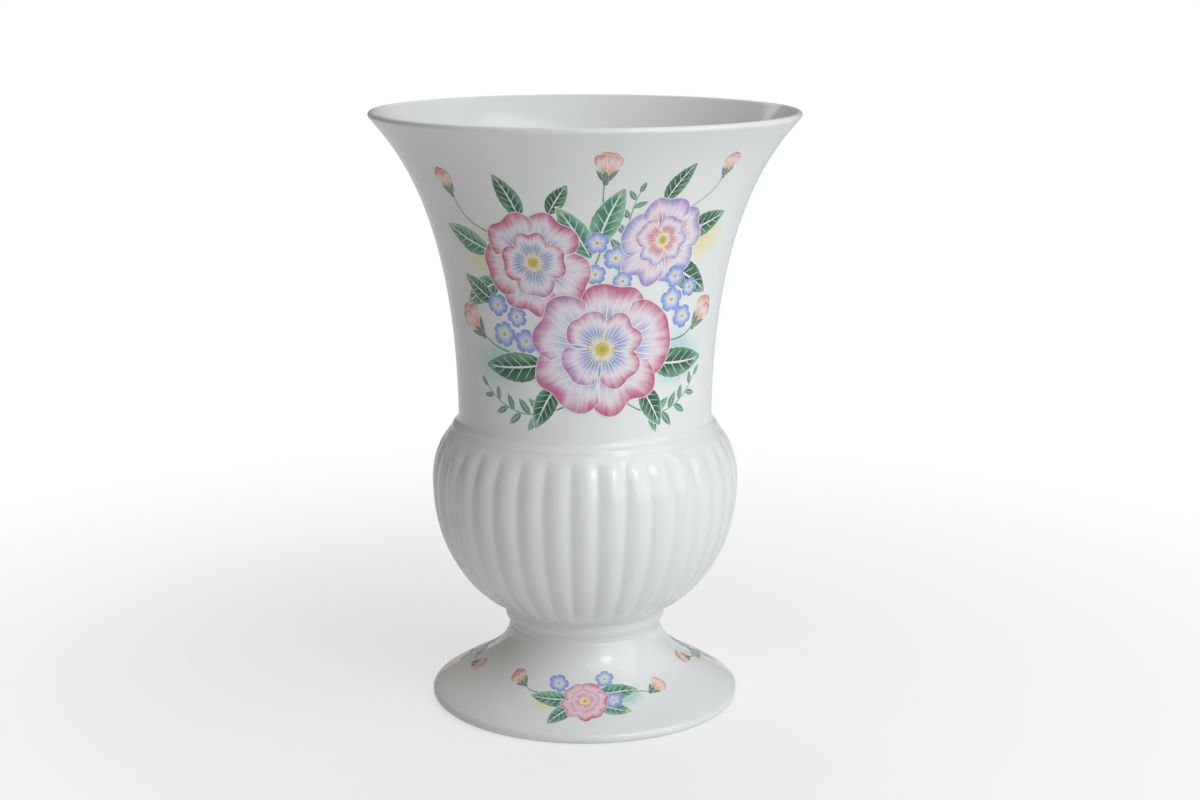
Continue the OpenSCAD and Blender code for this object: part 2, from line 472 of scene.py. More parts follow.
bowl = draw_outline("bowl_china", bowl_outline)
bpy.ops.transform.rotate(value=math.radians(90) + pitch / 2, orient_axis="Z", center_override=(0, 0, 0))
bpy.ops.mesh.spin(steps=RIB_COLUMNS, angle=pitch, center=(0, 0, 0), axis=(0, 0, 1))
close_up()
print("one rib:", len(bowl.data.vertices), "vertices")

# %% Shape one rib and repeat it
# Painted shade with glaze pooling: how much darker the grooves and the crease at the mouth are painted.
groove_pool_shade = 0.6
mouth_pool_shade = 0.3
mouth_pool_shade_h = 1.5 * MM
pool_and_shade = bowl.data.attributes.new("pool_and_shade", "FLOAT", "POINT")
for vertex in bowl.data.vertices:
    radius = math.hypot(vertex.co.x, vertex.co.y)
    outer = reach_at(bowl_side, vertex.co.z)
    if vertex.co.z > bowl_z + 0.01 * MM and radius > outer - bowl_wall / 2:
        angle = math.atan2(vertex.co.x, -vertex.co.y)
        crest, groove = rib_height(angle, vertex.co.z)
        drop = max(0, mouth_z - vertex.co.z)
        shaped = radius - rib_depth * radius / bowl_r * (1 - crest)
        shaped += (joint_reach(vertex.co.z) - shaped) * (1 - ease(min(1, drop / blend_h)))
        vertex.co.x *= shaped / radius
        vertex.co.y *= shaped / radius
        at_mouth = mouth_pool_shade * max(0, 1 - drop / mouth_pool_shade_h)
        pool_and_shade.data[vertex.index].value = max(groove * groove_pool_shade, at_mouth)

bpy.ops.object.mode_set(mode="EDIT")
bpy.ops.mesh.select_all(action="SELECT")
bpy.ops.mesh.spin(steps=RIBS - 1, dupli=True, angle=math.tau - pitch, center=(0, 0, 0), axis=(0, 0, 1))
close_up()
place_section(bowl, china, "bowl")
print("bowl_china", len(bowl.data.polygons), "faces")

# %% [markdown]
# ## The hollow foot
# The foot is cast hollow: a ground ring to stand on, a dome that draws in to the waist, and a bead
# under the bowl. Its inside follows the dome at the thickness of the wall. The outline is a closed
# loop, so the spun foot is a shell with a real underside. The bead runs into the waist, and into a
# hollow under the bowl, in arcs that are tangent to it, because poured glaze leaves no sharp corner.

# %% Foot
_, foot_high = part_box("foot")
foot_h = foot_high.z
foot_r = foot_high.x
foot_edge_r = 2 * MM
foot_slope = 33.5
foot_reach = 12 * MM
waist_r = 29.5 * MM
waist_h = 31 * MM
waist_drop = 14.5 * MM
foot_wall = 4 * MM
ring_w = 4.5 * MM
bead_r = 4.5 * MM
bead_trim = 47
bead_centre = Vector((26.9 * MM, foot_h - bead_r * math.sin(math.radians(bead_trim))))
waist_fillet = 4.5 * MM
cove_r = 1.5 * MM
ring_bevel = 0.3 * MM
stem_bore_r = waist_r - foot_wall

slope = math.radians(foot_slope)
edge_centre = Vector((foot_r - foot_edge_r, foot_edge_r))
dome_start = edge_centre + Vector((math.sin(slope), math.cos(slope))) * foot_edge_r
dome_way = Vector((-math.cos(slope), math.sin(slope))) * foot_reach


def dome_line(start, radius, drop, steps):
    """A side of the foot's wall, from its edge up to the waist."""
    waist = Vector((radius, waist_h))
    return curve(start, start + dome_way, waist - Vector((0, drop)), waist, steps)


dome = dome_line(dome_start, waist_r, waist_drop, steps=48)
hollow_start = dome_start - Vector((math.sin(slope), math.cos(slope))) * foot_wall
hollow = dome_line(hollow_start, stem_bore_r, waist_drop + foot_wall / 2, steps=36)
ring_inner_r = foot_r - foot_edge_r - ring_w
waist_out = waist_r + waist_fillet - bead_centre.x
waist_down = math.sqrt((bead_r + waist_fillet) ** 2 - waist_out**2)
waist_centre = bead_centre + Vector((waist_out, -waist_down))
bead_low = -math.degrees(math.atan2(waist_down, waist_out))
cove_up = foot_h - cove_r - bead_centre.y
cove_out = math.sqrt((bead_r + cove_r) ** 2 - cove_up**2)
cove_centre = bead_centre + Vector((cove_out, cove_up))
bead_high = math.degrees(math.atan2(cove_up, cove_out))
foot_outline = (
    arc(edge_centre, foot_edge_r, -90, 90 - foot_slope, 12)
    + [p for p in dome[1:] if p.y < waist_centre.y - 0.3 * MM]
    + arc(waist_centre, waist_fillet, 180, 180 + bead_low, 14)
    + arc(bead_centre, bead_r, bead_low, bead_high, 18)[1:]
    + arc(cove_centre, cove_r, 180 + bead_high, 90, 10)[1:]
    + [Vector((stem_bore_r, foot_h))]
    + [p for p in hollow[::-1] if p.x < ring_inner_r - 0.5 * MM]
    + [Vector((ring_inner_r, ring_bevel)), Vector((ring_inner_r + ring_bevel, 0))]
    + [Vector((foot_r - foot_edge_r, 0))]
)
foot = turn_section("foot_china", foot_outline)
place_section(foot, ground_china, "foot")
# Painted shade, with glaze pooling, in the crease under the bowl.
mark_pool_and_shade(foot, height=foot_h - 0.6 * MM, reach=1.6 * MM, inside=waist_r, most=0.6)

# %% [markdown]
# ## The two joints
# The low ridge of clay between neck and bowl is turned like the sections, along the joint's own line.
# Between bowl and foot there is a thin ring of slip, whose edge goes on from the hollow over the foot's
# bead.

# %% Joints
ridge_outline = [Vector((bore_r, joint_low.z))] + joint_line(joint_low.z, joint_high.z, steps=16)
ridge_outline += [Vector((bore_r, joint_high.z)), Vector((bore_r, joint_low.z))]
ridge = turn_section("neck_joint_ridge", ridge_outline)
place_section(ridge, china, "neck_joint_bead")
# Painted shade, with glaze pooling, in the crease at the ridge's foot.
mark_pool_and_shade(ridge, height=joint_low.z, reach=1.2 * MM, inside=bore_r + MM, most=0.3)

slip_low, slip_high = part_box("foot_slip")
slip_flare = 0.4 * MM
slip_outline = [Vector((stem_bore_r, slip_low.z)), Vector((cove_centre.x, slip_low.z))]
slip_outline += [Vector((cove_centre.x + slip_flare, slip_high.z)), Vector((stem_bore_r, slip_high.z))]
slip_outline += [slip_outline[0]]
slip_ring = turn_section("foot_slip_ring", slip_outline, steps=192)
place_section(slip_ring, china, "foot_slip")

# %% [markdown]
# ## How the prints lie on the glaze
# The decoration is a set of fired transfers: each is printed flat in enamels, floated off its paper and
# smoothed onto the glaze. It could be a picture in the china's own material, but then every petal would
# share the pixels of a whole section. Here each petal and leaf is a thin piece of its own, modelled
# flat with x to the right, y up and z out of the china by a fraction of a millimetre, and then laid on
# a skin: a fine copy of the section's outside line that turns a length along it into a radius and a
# height.

# %% Skins
class Skin:
    """The outside line of a section, measured along its length."""

    def __init__(self, line):
        self.line = line
        self.runs = [0]
        for a, b in zip(line, line[1:]):
            self.runs.append(self.runs[-1] + (b - a).length)

    def run_at(self, height):
        """The length along the line up to a height."""
        i = next(i for i, p in enumerate(self.line) if p.y >= height)
        a, b = self.line[i - 1], self.line[i]
        return self.runs[i - 1] + (self.runs[i] - self.runs[i - 1]) * (height - a.y) / (b.y - a.y)

    def at(self, run):
        """The point at a length along the line, and the direction out of the china there."""
        i = min(max(bisect.bisect(self.runs, run), 1), len(self.line) - 1)
        a, b = self.line[i - 1], self.line[i]
        share = (run - self.runs[i - 1]) / (self.runs[i] - self.runs[i - 1])
        along = (b - a).normalized()
        return a + (b - a) * share, Vector((along.y, -along.x))

    def place(self, turn, run, lift):
        """A place on the china: an angle right of the front, a length along the line and a lift off it."""
        point, out = self.at(run)
        at = point + out * lift
        return Vector((at.x * math.sin(turn), -at.x * math.cos(turn), at.y))


neck_skin = Skin(neck_line(neck_r, lip_centre + lip_across, steps=400))
foot_skin = Skin(dome_line(dome_start, waist_r, waist_drop, steps=300))
print("skins, m:", neck_skin.runs[-1], foot_skin.runs[-1])

# %% Flat sheets
LINE = 0.32 * MM
FILM = 0.014 * MM
CELL = 0.8 * MM
FILM_CORNER = math.radians(40)


def select_only(obj):
    bpy.ops.object.select_all(action="DESELECT")
    obj.select_set(True)
    bpy.context.view_layer.objects.active = obj


def line_for(length):
    """The width of the white line round a motif, narrower on a small one."""
    return min(LINE, 0.02 * length)


def edged(u, columns, line):
    """Moves a grid's columns so that the outermost ones are as wide as the line round a motif."""
    inner = 1 - 2 / columns
    return u / inner * (1 - line) if abs(u) < inner + 0.001 else math.copysign(1, u)


def add_sheet(columns, rows, shape, ink, line_ink=None):
    """A flat grid whose points go where shape(u, v) says, u from -1 to 1 across and v from 0 to 1 up.

    The cells along both sides and the far end take the line's ink, where there is one."""
    bpy.ops.object.select_all(action="DESELECT")
    bpy.ops.mesh.primitive_grid_add(x_subdivisions=columns, y_subdivisions=rows, size=2)
    sheet = bpy.context.object
    sheet.data.materials.append(ink)
    if line_ink:
        sheet.data.materials.append(line_ink)
    for face in sheet.data.polygons:
        outermost = abs(face.center.x) > 1 - 2 / columns or face.center.y > 1 - 2 / rows
        face.material_index = int(outermost and line_ink is not None)
    for vertex in sheet.data.vertices:
        vertex.co = shape(vertex.co.x, (vertex.co.y + 1) / 2)
    return sheet


def settle(sheet, roll, lift, x=0, y=0):
    """Turns a flat sheet about its foot, moves it and lifts it, and writes that into its mesh."""
    sheet.rotation_euler.z = -math.radians(roll)
    sheet.location = (x, y, lift)
    select_only(sheet)
    bpy.ops.object.transform_apply()
    return sheet


def join(name, sheets):
    """Joins flat sheets into one motif."""
    select_only(sheets[0])
    for sheet in sheets[1:]:
        sheet.select_set(True)
    bpy.ops.object.join()
    sheets[0].name = name
    sheets[0].data.name = name
    return sheets[0]


def lay(motif, skin, turn, height):
    """Lays a flat motif on a skin, at degrees right of the front and millimetres above the table."""
    start = skin.run_at(height * MM)
    for vertex in motif.data.vertices:
        run = start + vertex.co.y
        around = math.radians(turn) + vertex.co.x / skin.at(run)[0].x
        vertex.co = skin.place(around, run, vertex.co.z)
    return motif


def fire(motif, area):
    """Gives a laid motif its thickness and makes it part of the vase; area is its skin, slot and node, and
    the slot is not used.
    """
    _, slot, node = area
    select_only(motif)
    film = motif.modifiers.new("film", "SOLIDIFY")
    film.thickness = FILM
    film.offset = -1
    bpy.ops.object.modifier_apply(modifier=film.name)
    bpy.ops.object.shade_smooth_by_angle(angle=FILM_CORNER)
    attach(motif, "root")
    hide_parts(node)
    print(motif.name, len(motif.data.polygons), "faces")


print("sheets ready, cells of", CELL, "m")

# %% [markdown]
# ## Enamel inks
# The inks are airbrushed: on a petal the colour runs from the heart out to the rim in soft bands,
# broken by fine streaks that follow the petal's growth, and white lines are left between the motifs
# where the china shows. The grid's own UV map gives how far a place is across and along a petal, so the
# bands and streaks bend with it. Behind the flowers lie sprayed washes of turquoise and lemon that thin
# out into the plain glaze: each is a sheet whose ink fades to the glaze's own colour before it reaches
# the sheet's edge.

# %% Petal, leaf and line inks
LINE_BRIGHT = (0.90, 0.89, 0.875, 1)
LINE_SOFT = (0.86, 0.855, 0.845, 1)
PETAL_VEIN = (0.90, 0.89, 0.89, 1)
LEAF_VEIN = (0.86, 0.88, 0.86, 1)


def new_enamel(name):
    """A glossy enamel: its material, its shader and its Object place."""
    material, shader, place = new_finish(name)
    feed(0.15 + place.noise(300, 2) * 0.12, shader, "Roughness")
    shader.inputs["IOR"].default_value = GLAZE_IOR
    return material, shader, place


def new_ink(name):
    """An enamel that ripples with the glaze, and its place on the flat sheet."""
    material, shader, place = new_enamel(name)
    feed(glaze_ripple(place), shader, "Normal")
    return material, shader, place, place.add("UVMap", {"uv_map": "UVMap"})


def split_sheet(sheet):
    """How far a place is across its motif, from -1 to 1, and along it, from 0 to 1."""
    across = sheet.add("SeparateXYZ", {}, {0: sheet}, output=0) * 2 - 1
    return across, sheet.add("SeparateXYZ", {}, {0: sheet}, output=1)


def from_middle(sheet):
    return sheet.add("VectorMath", {"operation": "DISTANCE"}, {0: sheet, 1: (0.5, 0.5, 0)}, output=1)


def make_line_white():
    """The china that shows between the motifs, a little brighter for the opaque white printed under it."""
    material, shader, place = new_enamel("reserved_white_line")
    feed(place.noise(60, 2).blend(LINE_BRIGHT, LINE_SOFT), shader, "Base Color")
    return material


def make_petal_ink(name, veins, *bands):
    """Bands from the heart to the rim; the attribute tone shifts the rim from one colour to another."""
    heart, middle, pale, rim, other_rim = [rgb(*band) for band in bands]
    material, shader, place, sheet = new_ink(name)
    across, along = split_sheet(sheet)
    tone = place.add("Attribute", {"attribute_name": "tone"}, output=2)
    streaks = sheet.noise(1, 3, stretch=(22, 1.6, 1))
    drift = place.noise(120, 2)
    flow = along + (streaks - 0.5) * 0.30 + (drift - 0.5) * 0.35
    colour = flow.rise(0.08, 0.34).blend(heart, middle)
    colour = flow.rise(0.34, 0.70).blend(colour, pale)
    colour = flow.rise(0.66, 1.02).blend(colour, tone.blend(rim, other_rim))
    fan = (across + (drift - 0.5) * 0.12) * veins + 100.5
    from_vein = abs(fan.math("FRACT", fan) - 0.5) / veins * along
    vein = from_vein.rise(0.016, 0.008) * along.rise(0.86, 0.6) * along.rise(0.08, 0.2)
    feed((vein * 0.85).blend(colour, PETAL_VEIN), shader, "Base Color")
    return material


def make_leaf_ink(name, deep, light, tip):
    """Two greens, darker along the midrib, with white veins left open."""
    material, shader, place, sheet = new_ink(name)
    across, along = split_sheet(sheet)
    drift = place.noise(150, 3)
    streaks = sheet.noise(1, 3, stretch=(5, 9, 1))
    outward = abs(across) * 0.75 + (drift - 0.5) * 0.9 + (streaks - 0.5) * 0.5 + across * 0.15
    colour = outward.rise(0.15, 0.85).blend(deep, light)
    colour = ((along + drift * 0.4 - 0.2).rise(0.72, 1.05) * 0.8).blend(colour, tip)
    climb = along * 7 - abs(across) * 1.6
    rib = abs(climb.math("FRACT", climb + 20) - 0.5)
    side = rib.rise(0.065, 0.03) * abs(across).rise(0.8, 0.45)
    midrib = abs(across).rise(0.075, 0.04)
    veins = midrib.most(side * 0.8) * along.rise(0.97, 0.85)
    feed(veins.blend(colour, LEAF_VEIN), shader, "Base Color")
    return material


line_white = make_line_white()
rose_ink = make_petal_ink(
    "rose_enamel", 4, (236, 222, 190), (150, 162, 216), (238, 226, 234), (205, 92, 124), (186, 128, 186)
)
lilac_ink = make_petal_ink(
    "lilac_enamel", 4, (240, 228, 196), (216, 120, 150), (240, 226, 232), (150, 150, 212), (190, 130, 186)
)
bud_ink = make_petal_ink(
    "apricot_enamel", 2, (238, 206, 130), (236, 160, 122), (244, 222, 212), (210, 92, 112), (226, 130, 110)
)
pink_ink = make_petal_ink(
    "pink_enamel", 3, (246, 228, 176), (228, 150, 168), (242, 206, 216), (204, 80, 114), (190, 110, 170)
)
blue_ink = make_petal_ink(
    "blue_enamel", 1, (244, 240, 226), (206, 214, 240), (150, 170, 226), (108, 132, 208), (132, 120, 204)
)
leaf_ink = make_leaf_ink("leaf_enamel", rgb(44, 98, 70), rgb(120, 172, 138), rgb(150, 205, 190))
mint_ink = make_leaf_ink("mint_leaf_enamel", rgb(70, 136, 108), rgb(158, 206, 180), rgb(196, 220, 150))
inks = (rose_ink, lilac_ink, bud_ink, pink_ink, blue_ink, leaf_ink, mint_ink)
print("inks:", [ink.name for ink in inks])

# %% Eye, stem and wash inks
def make_eye_ink():
    """A flower's eye: gold round a green middle, with small brown dots."""
    material, shader, place, sheet = new_ink("eye_enamel")
    out = from_middle(sheet) + place.noise(500, 2) * 0.2
    colour = out.rise(0.2, 0.5).blend(rgb(176, 186, 96), rgb(238, 196, 86))
    dots = place.add("TexVoronoi", {}, {"Vector": place, "Scale": 1500})
    feed((dots.rise(0.3, 0.2) * 0.7).blend(colour, rgb(176, 104, 52)), shader, "Base Color")
    return material


def make_stem_ink():
    """Grey-green, lighter on one side and in places where the brush ran dry."""
    material, shader, place, sheet = new_ink("stem_enamel")
    across, _ = split_sheet(sheet)
    dry = (place.noise(160, 3) + across * 0.15).rise(0.35, 0.75)
    feed(dry.blend(rgb(78, 120, 98), rgb(150, 184, 166)), shader, "Base Color")
    return material


def make_wash(name, tint, strength):
    """An airbrushed tint that thins out into the plain glaze all round it."""
    material, shader, place, sheet = new_ink(name)
    cloud = (from_middle(sheet) + (place.noise(110, 3) - 0.5) * 0.24).rise(0.38, 0.04)
    feed((cloud * strength).blend(glaze_colour(place), tint), shader, "Base Color")
    feed(glaze_gloss(place), shader, "Roughness")
    return material


eye_ink = make_eye_ink()
stem_ink = make_stem_ink()
sea_wash = make_wash("turquoise_wash", rgb(150, 212, 208), 0.75)
lemon_wash = make_wash("lemon_wash", rgb(240, 226, 132), 0.7)
print("inks:", eye_ink.name, stem_ink.name, sea_wash.name, lemon_wash.name)

# %% [markdown]
# ## Petals and leaves
# A petal is a grid in polar form: its columns fan out from the flower's heart and its rows run out to a
# rim with a shallow notch and a few soft ruffles. A leaf is a grid whose width swells and narrows along
# a bent midrib, with small teeth. The outermost cells are as narrow as the white line.

# %% Petal and leaf shapes
PETAL_FALL = 0.30
NOTCH_HALF = 0.22
RUFFLES = 6.5
HEART_SHARE = 0.06
FOOT_FAN = 0.66


def add_petal(ink, length, spread, notch, ruffle, phase, tone):
    """One flat petal with its foot at the origin and its rim towards +y."""
    fan = math.radians(spread)
    columns = max(14, round(2 * fan * length / CELL))
    rows = max(8, round(length / CELL))

    def shape(u, v):
        v = v / (1 - 1 / rows) * (1 - line_for(length) / length) if v < 1 - 0.5 / rows else 1
        u = edged(u, columns, line_for(length) / (0.7 * length * fan))
        rim = 1 - PETAL_FALL * abs(u) ** 3.2 - notch * math.exp(-((u / NOTCH_HALF) ** 2))
        rim += ruffle * math.sin(u * RUFFLES + phase)
        reach = length * rim * (HEART_SHARE + (1 - HEART_SHARE) * v)
        angle = fan * u * (FOOT_FAN + (1 - FOOT_FAN) * v**0.7)
        return reach * math.sin(angle), reach * math.cos(angle), 0

    petal = add_sheet(columns, rows, shape, ink, line_white)
    for mark in petal.data.attributes.new("tone", "FLOAT", "POINT").data:
        mark.value = tone
    return petal


def add_leaf(ink, length, width, bend, teeth=9):
    """One flat leaf with its foot at the origin and its tip towards +y."""
    columns = 10
    rows = 26

    def shape(u, v):
        swell = math.sin(math.pi * min(v, 0.995) ** 0.8) ** 0.85
        tooth = 1 + 0.07 * ((v * teeth) % 1 - 0.5) * min(1, 6 * v * (1 - v))
        half = max(width / 2 * swell * tooth, 0.10 * MM)
        u = edged(u, columns, min(0.9, line_for(length) * 0.8 / half))
        return u * half + bend * length * v * v, length * v, 0

    return add_sheet(columns, rows, shape, ink, line_white)


def add_spot(ink, radius, x, y, lift):
    """A small round dot of enamel."""
    bpy.ops.object.select_all(action="DESELECT")
    bpy.ops.mesh.primitive_circle_add(vertices=20, radius=radius, fill_type="TRIFAN")
    spot = bpy.context.object
    spot.data.materials.append(ink)
    return settle(spot, 0, lift, x, y)


def add_stem(skin, path, first_width, last_width, lift):
    """A tapered brush line through four (turn, height) points, laid on the skin as it is made."""
    ends = [Vector((math.radians(turn), skin.run_at(height * MM))) for turn, height in path]
    rows = 44
    line = curve(*ends, rows)

    def shape(u, v):
        i = min(round(v * rows), rows)
        at = line[i]
        radius = skin.at(at.y)[0].x
        way = line[min(i + 1, rows)] - line[max(i - 1, 0)]
        side = Vector((way.y, -way.x * radius)).normalized()
        half = (first_width + (last_width - first_width) * v) / 2
        return skin.place(at.x + side.x * half * u / radius, at.y + side.y * half * u, lift)

    return add_sheet(2, rows, shape, stem_ink)


print("petal, leaf, spot and stem shapes ready")

# %% [markdown]
# ## Motifs
# The prints are made of a few generic motifs: open roses with two rings of petals, buds held by sepals,
# small blue five-petalled blossoms, leaves and leafy sprigs. Each petal lies a few thousandths of a
# millimetre over the last, as each colour of the print does, so that nothing shares one surface.

# %% Roses, buds and blossoms
WASH_LIFT = 0.016 * MM
STEM_LIFT = 0.024 * MM
SPRIG_LIFT = 0.028 * MM
LEAF_LIFT = 0.034 * MM
BLOOM_LIFT = 0.068 * MM
LAYER = 0.008 * MM
ROSE_RINGS = ((5, 1.0, 45), (4, 0.60, 47))
STAMENS = 16


def make_rose(name, ink, length, roll, seed, over=0):
    """An open rose seen from the front, its length in millimetres, over a number of layers."""
    chance = random.Random(seed)
    length *= MM
    lift = BLOOM_LIFT + over * LAYER
    parts = []
    for number, (count, share, spread) in enumerate(ROSE_RINGS):
        for i in range(count):
            size = length * share * chance.uniform(0.93, 1.06)
            petal = add_petal(
                ink, size, spread * chance.uniform(0.92, 1.06), chance.uniform(0.03, 0.11),
                chance.uniform(0.015, 0.035), chance.uniform(0, 6), chance.uniform(0, 1) ** 2
            )
            turn = roll + (i + 0.5 * number) * 360 / count + chance.uniform(-6, 6)
            parts.append(settle(petal, turn, lift))
            lift += LAYER
    for i in range(STAMENS):
        angle = math.radians(360 / STAMENS * i + chance.uniform(-8, 8))
        reach = length * chance.uniform(0.17, 0.25)
        spot = min(0.42 * MM, length * 0.022)
        parts.append(add_spot(eye_ink, spot, reach * math.sin(angle), reach * math.cos(angle), lift))
    parts.append(add_spot(eye_ink, length * 0.095, 0, 0, lift + LAYER))
    return join(name, parts)


def make_bud(name, length, roll, seed):
    """A closed bud: three folded petals in a cup of sepals, its length in millimetres."""
    chance = random.Random(seed)
    length *= MM
    parts = []
    lift = BLOOM_LIFT
    for lean, share, spread in ((0, 1.0, 24), (-13, 0.93, 19), (14, 0.9, 18)):
        phase = chance.uniform(0, 6)
        petal = add_petal(bud_ink, length * share, spread, 0.0, 0.02, phase, chance.uniform(0, 1))
        parts.append(settle(petal, roll + lean, lift))
        lift += LAYER
    for lean, share in ((-30, 0.5), (27, 0.55), (-3, 0.42)):
        sepal = add_leaf(leaf_ink, length * share, length * 0.15, 0.12 * math.copysign(1, lean), teeth=1)
        parts.append(settle(sepal, roll + lean, lift))
        lift += LAYER
    parts.append(add_spot(stem_ink, length * 0.075, 0, 0, lift))
    return join(name, parts)


def make_blossoms(name, places, radius, seed):
    """A cluster of small blue blossoms, at (x, y) places from its middle; all in millimetres."""
    chance = random.Random(seed)
    parts = []
    lift = BLOOM_LIFT - 3 * LAYER
    for x, y in places:
        size = radius * MM * chance.uniform(0.85, 1.15)
        roll = chance.uniform(0, 72)
        for i in range(5):
            petal = add_petal(blue_ink, size, 38, 0.04, 0.0, 0, chance.uniform(0, 1))
            parts.append(settle(petal, roll + 72 * i, lift, x * MM, y * MM))
            lift += LAYER / 2
        parts.append(add_spot(eye_ink, size * 0.17, x * MM, y * MM, lift))
        lift += LAYER / 2
    return join(name, parts)


print("motifs ready")

# %% [markdown]
# ## Laying and firing
# Leaves, stems, sprigs and washes are listed by their places on the china, in degrees round from the
# front and in millimetres above the table. Each group is laid on the skin and joined, because a
# transfer is handled as a sheet and not as single leaves. Flowers are laid one by one, each over the
# last.

# %% Lay groups and flowers
SPRIG_PAIRS = 4
SPRIG_LEAN = 52


def lay_leaves(area, name, ink, leaves):
    """A group of leaves: each is (turn, height, roll, length, width, bend), in degrees and millimetres."""
    laid = []
    for number, (turn, height, roll, length, width, bend) in enumerate(leaves):
        leaf = add_leaf(ink, length * MM, width * MM, bend)
        settle(leaf, roll, LEAF_LIFT + number * LAYER / 2)
        laid.append(lay(leaf, area[0], turn, height))
    fire(join(name, laid), area)


def lay_stems(area, name, stems):
    """A group of stems: each is four (turn, height) points and two widths in millimetres."""
    laid = []
    for number, (path, first, last) in enumerate(stems):
        laid.append(add_stem(area[0], path, first * MM, last * MM, STEM_LIFT + number * LAYER / 4))
    fire(join(name, laid), area)


def lay_sprig(area, name, leaf_length, path):
    """A thin stem through four (turn, height) points, with small leaves along it and one at its end."""
    skin = area[0]
    parts = [add_stem(skin, path, 0.6 * MM, 0.3 * MM, STEM_LIFT)]
    last = 2 * SPRIG_PAIRS
    steps = 5 * last
    line = curve(*[Vector(point) for point in path], steps)
    for number in range(last + 1):
        i = round(steps * (0.35 + 0.65 * number / last))
        a, b = line[i - 2], line[i]
        across = math.radians(b.x - a.x) * reach_at(skin.line, b.y * MM)
        way = math.degrees(math.atan2(across, skin.run_at(b.y * MM) - skin.run_at(a.y * MM)))
        lean = 0 if number == last else SPRIG_LEAN * (-1) ** number
        size = leaf_length * MM * (1 - 0.4 * number / last)
        leaf = add_leaf(mint_ink, size, size * 0.42, 0.05, teeth=1)
        settle(leaf, way + lean, SPRIG_LIFT + number * LAYER / 32)
        parts.append(lay(leaf, skin, b.x, b.y))
    fire(join(name, parts), area)


def lay_washes(area, name, washes):
    """A group of airbrushed tints: each is its ink, (turn, height), width and height in millimetres."""
    laid = []
    for ink, turn, height, width, tall in washes:
        def shape(u, v, width=width, tall=tall):
            return u * width / 2 * MM, (v - 0.5) * tall * MM, WASH_LIFT

        laid.append(lay(add_sheet(round(width), round(tall), shape, ink), area[0], turn, height))
    fire(join(name, laid), area)


def lay_each(area, make, rows):
    """One flower for each row: its turn and height on the china, then what its maker takes."""
    for turn, height, *what in rows:
        fire(lay(make(*what), area[0], turn, height), area)


print("groups and flowers ready")

# %% [markdown]
# ## The front bouquet
# The large transfer covers most of the neck's front. Its stems rise from the lower middle and part to
# both sides; a large rose sits right of the middle, a second one higher on the left and a paler one
# high on the right, with buds at the ends of the stems, leaves and thin sprigs behind them and blue
# blossoms in the gaps.

# %% Front washes, stems and sprigs
FRONT = (neck_skin, "front_print", "front_transfer")
lay_washes(FRONT, "front_washes", (
    (sea_wash, 42, 143, 42, 36),
    (lemon_wash, -40, 182, 38, 34),
    (sea_wash, -38, 141, 40, 32),
    (lemon_wash, 46, 187, 36, 34),
))
lay_stems(FRONT, "front_stems", (
    (((-6, 140), (-22, 147), (-36, 142), (-46, 151)), 0.8, 0.45),
    (((16, 148), (32, 152), (42, 146), (50, 154)), 0.8, 0.45),
    (((2, 176), (10, 190), (4, 200), (6, 211)), 0.8, 0.45),
    (((-26, 184), (-37, 194), (-46, 190), (-47, 204)), 0.7, 0.35),
    (((30, 192), (38, 204), (45, 201), (46, 211)), 0.6, 0.3),
))
lay_sprig(FRONT, "front_sprig_1", 8.5, ((-2, 130), (-16, 121), (-32, 119), (-46, 131)))
lay_sprig(FRONT, "front_sprig_2", 8.5, ((14, 130), (28, 119), (42, 120), (54, 134)))
lay_sprig(FRONT, "front_sprig_3", 8.5, ((10, 168), (15, 180), (13, 194), (17, 206)))

# %% Front leaves
for number, ink, leaves in (
    (1, leaf_ink, ((-16, 142, -104, 27, 12, 0.15), (-12, 134, -146, 19, 9, -0.12))),
    (2, leaf_ink, ((28, 142, 100, 27, 12, -0.14), (24, 133, 144, 18, 9, 0.12))),
    (3, mint_ink, ((-34, 172, -112, 22, 10, -0.14), (-36, 183, -72, 23, 10, 0.10))),
    (4, leaf_ink, ((32, 178, 112, 25, 11, 0.14), (36, 190, 78, 22, 10, -0.1))),
    (5, mint_ink, ((4, 186, 14, 26, 11, 0.14), (2, 182, -26, 24, 10, -0.1))),
    (6, leaf_ink, ((-22, 196, -14, 20, 9, -0.14), (26, 202, 22, 19, 8, 0.12))),
    (7, leaf_ink, ((-12, 198, 26, 15, 7, 0.12), (-38, 164, -64, 17, 8, 0.12))),
):
    lay_leaves(FRONT, f"front_leaves_{number}", ink, leaves)

# %% Front flowers
lay_each(FRONT, make_blossoms, (
    (-28, 159, "front_blossoms_1", ((0, 0), (-8, 4), (-6, -7), (3, -9)), 4.6, 21),
    (11, 182, "front_blossoms_2", ((0, 0), (-7, -6.2), (-7, 6), (3, -9)), 4.2, 22),
    (36, 165, "front_blossoms_3", ((0, 0), (8, 4), (6, -7), (0, 9)), 4.4, 23),
))
lay_each(FRONT, make_rose, (
    (28, 188, "front_rose_3", lilac_ink, 18, 70, 11, 0),
    (-19, 180, "front_rose_2", rose_ink, 22, 40, 7, 2),
    (7, 148, "front_rose_1", rose_ink, 27, 10, 4, 13),
))
lay_each(FRONT, make_bud, (
    (-46, 150, "front_bud_1", 15, -44, 3),
    (6, 210, "front_bud_2", 14, 4, 5),
    (50, 153, "front_bud_3", 14, 40, 8),
    (-47, 203, "front_bud_4", 12, -8, 9),
    (46, 210, "front_bud_5", 11, 6, 10),
))

# %% [markdown]
# ## The back spray
# The back carries a smaller print with more plain china round it: a lilac rose and a pink one on
# crossing stems, with the same leaves, sprigs and washes behind them.

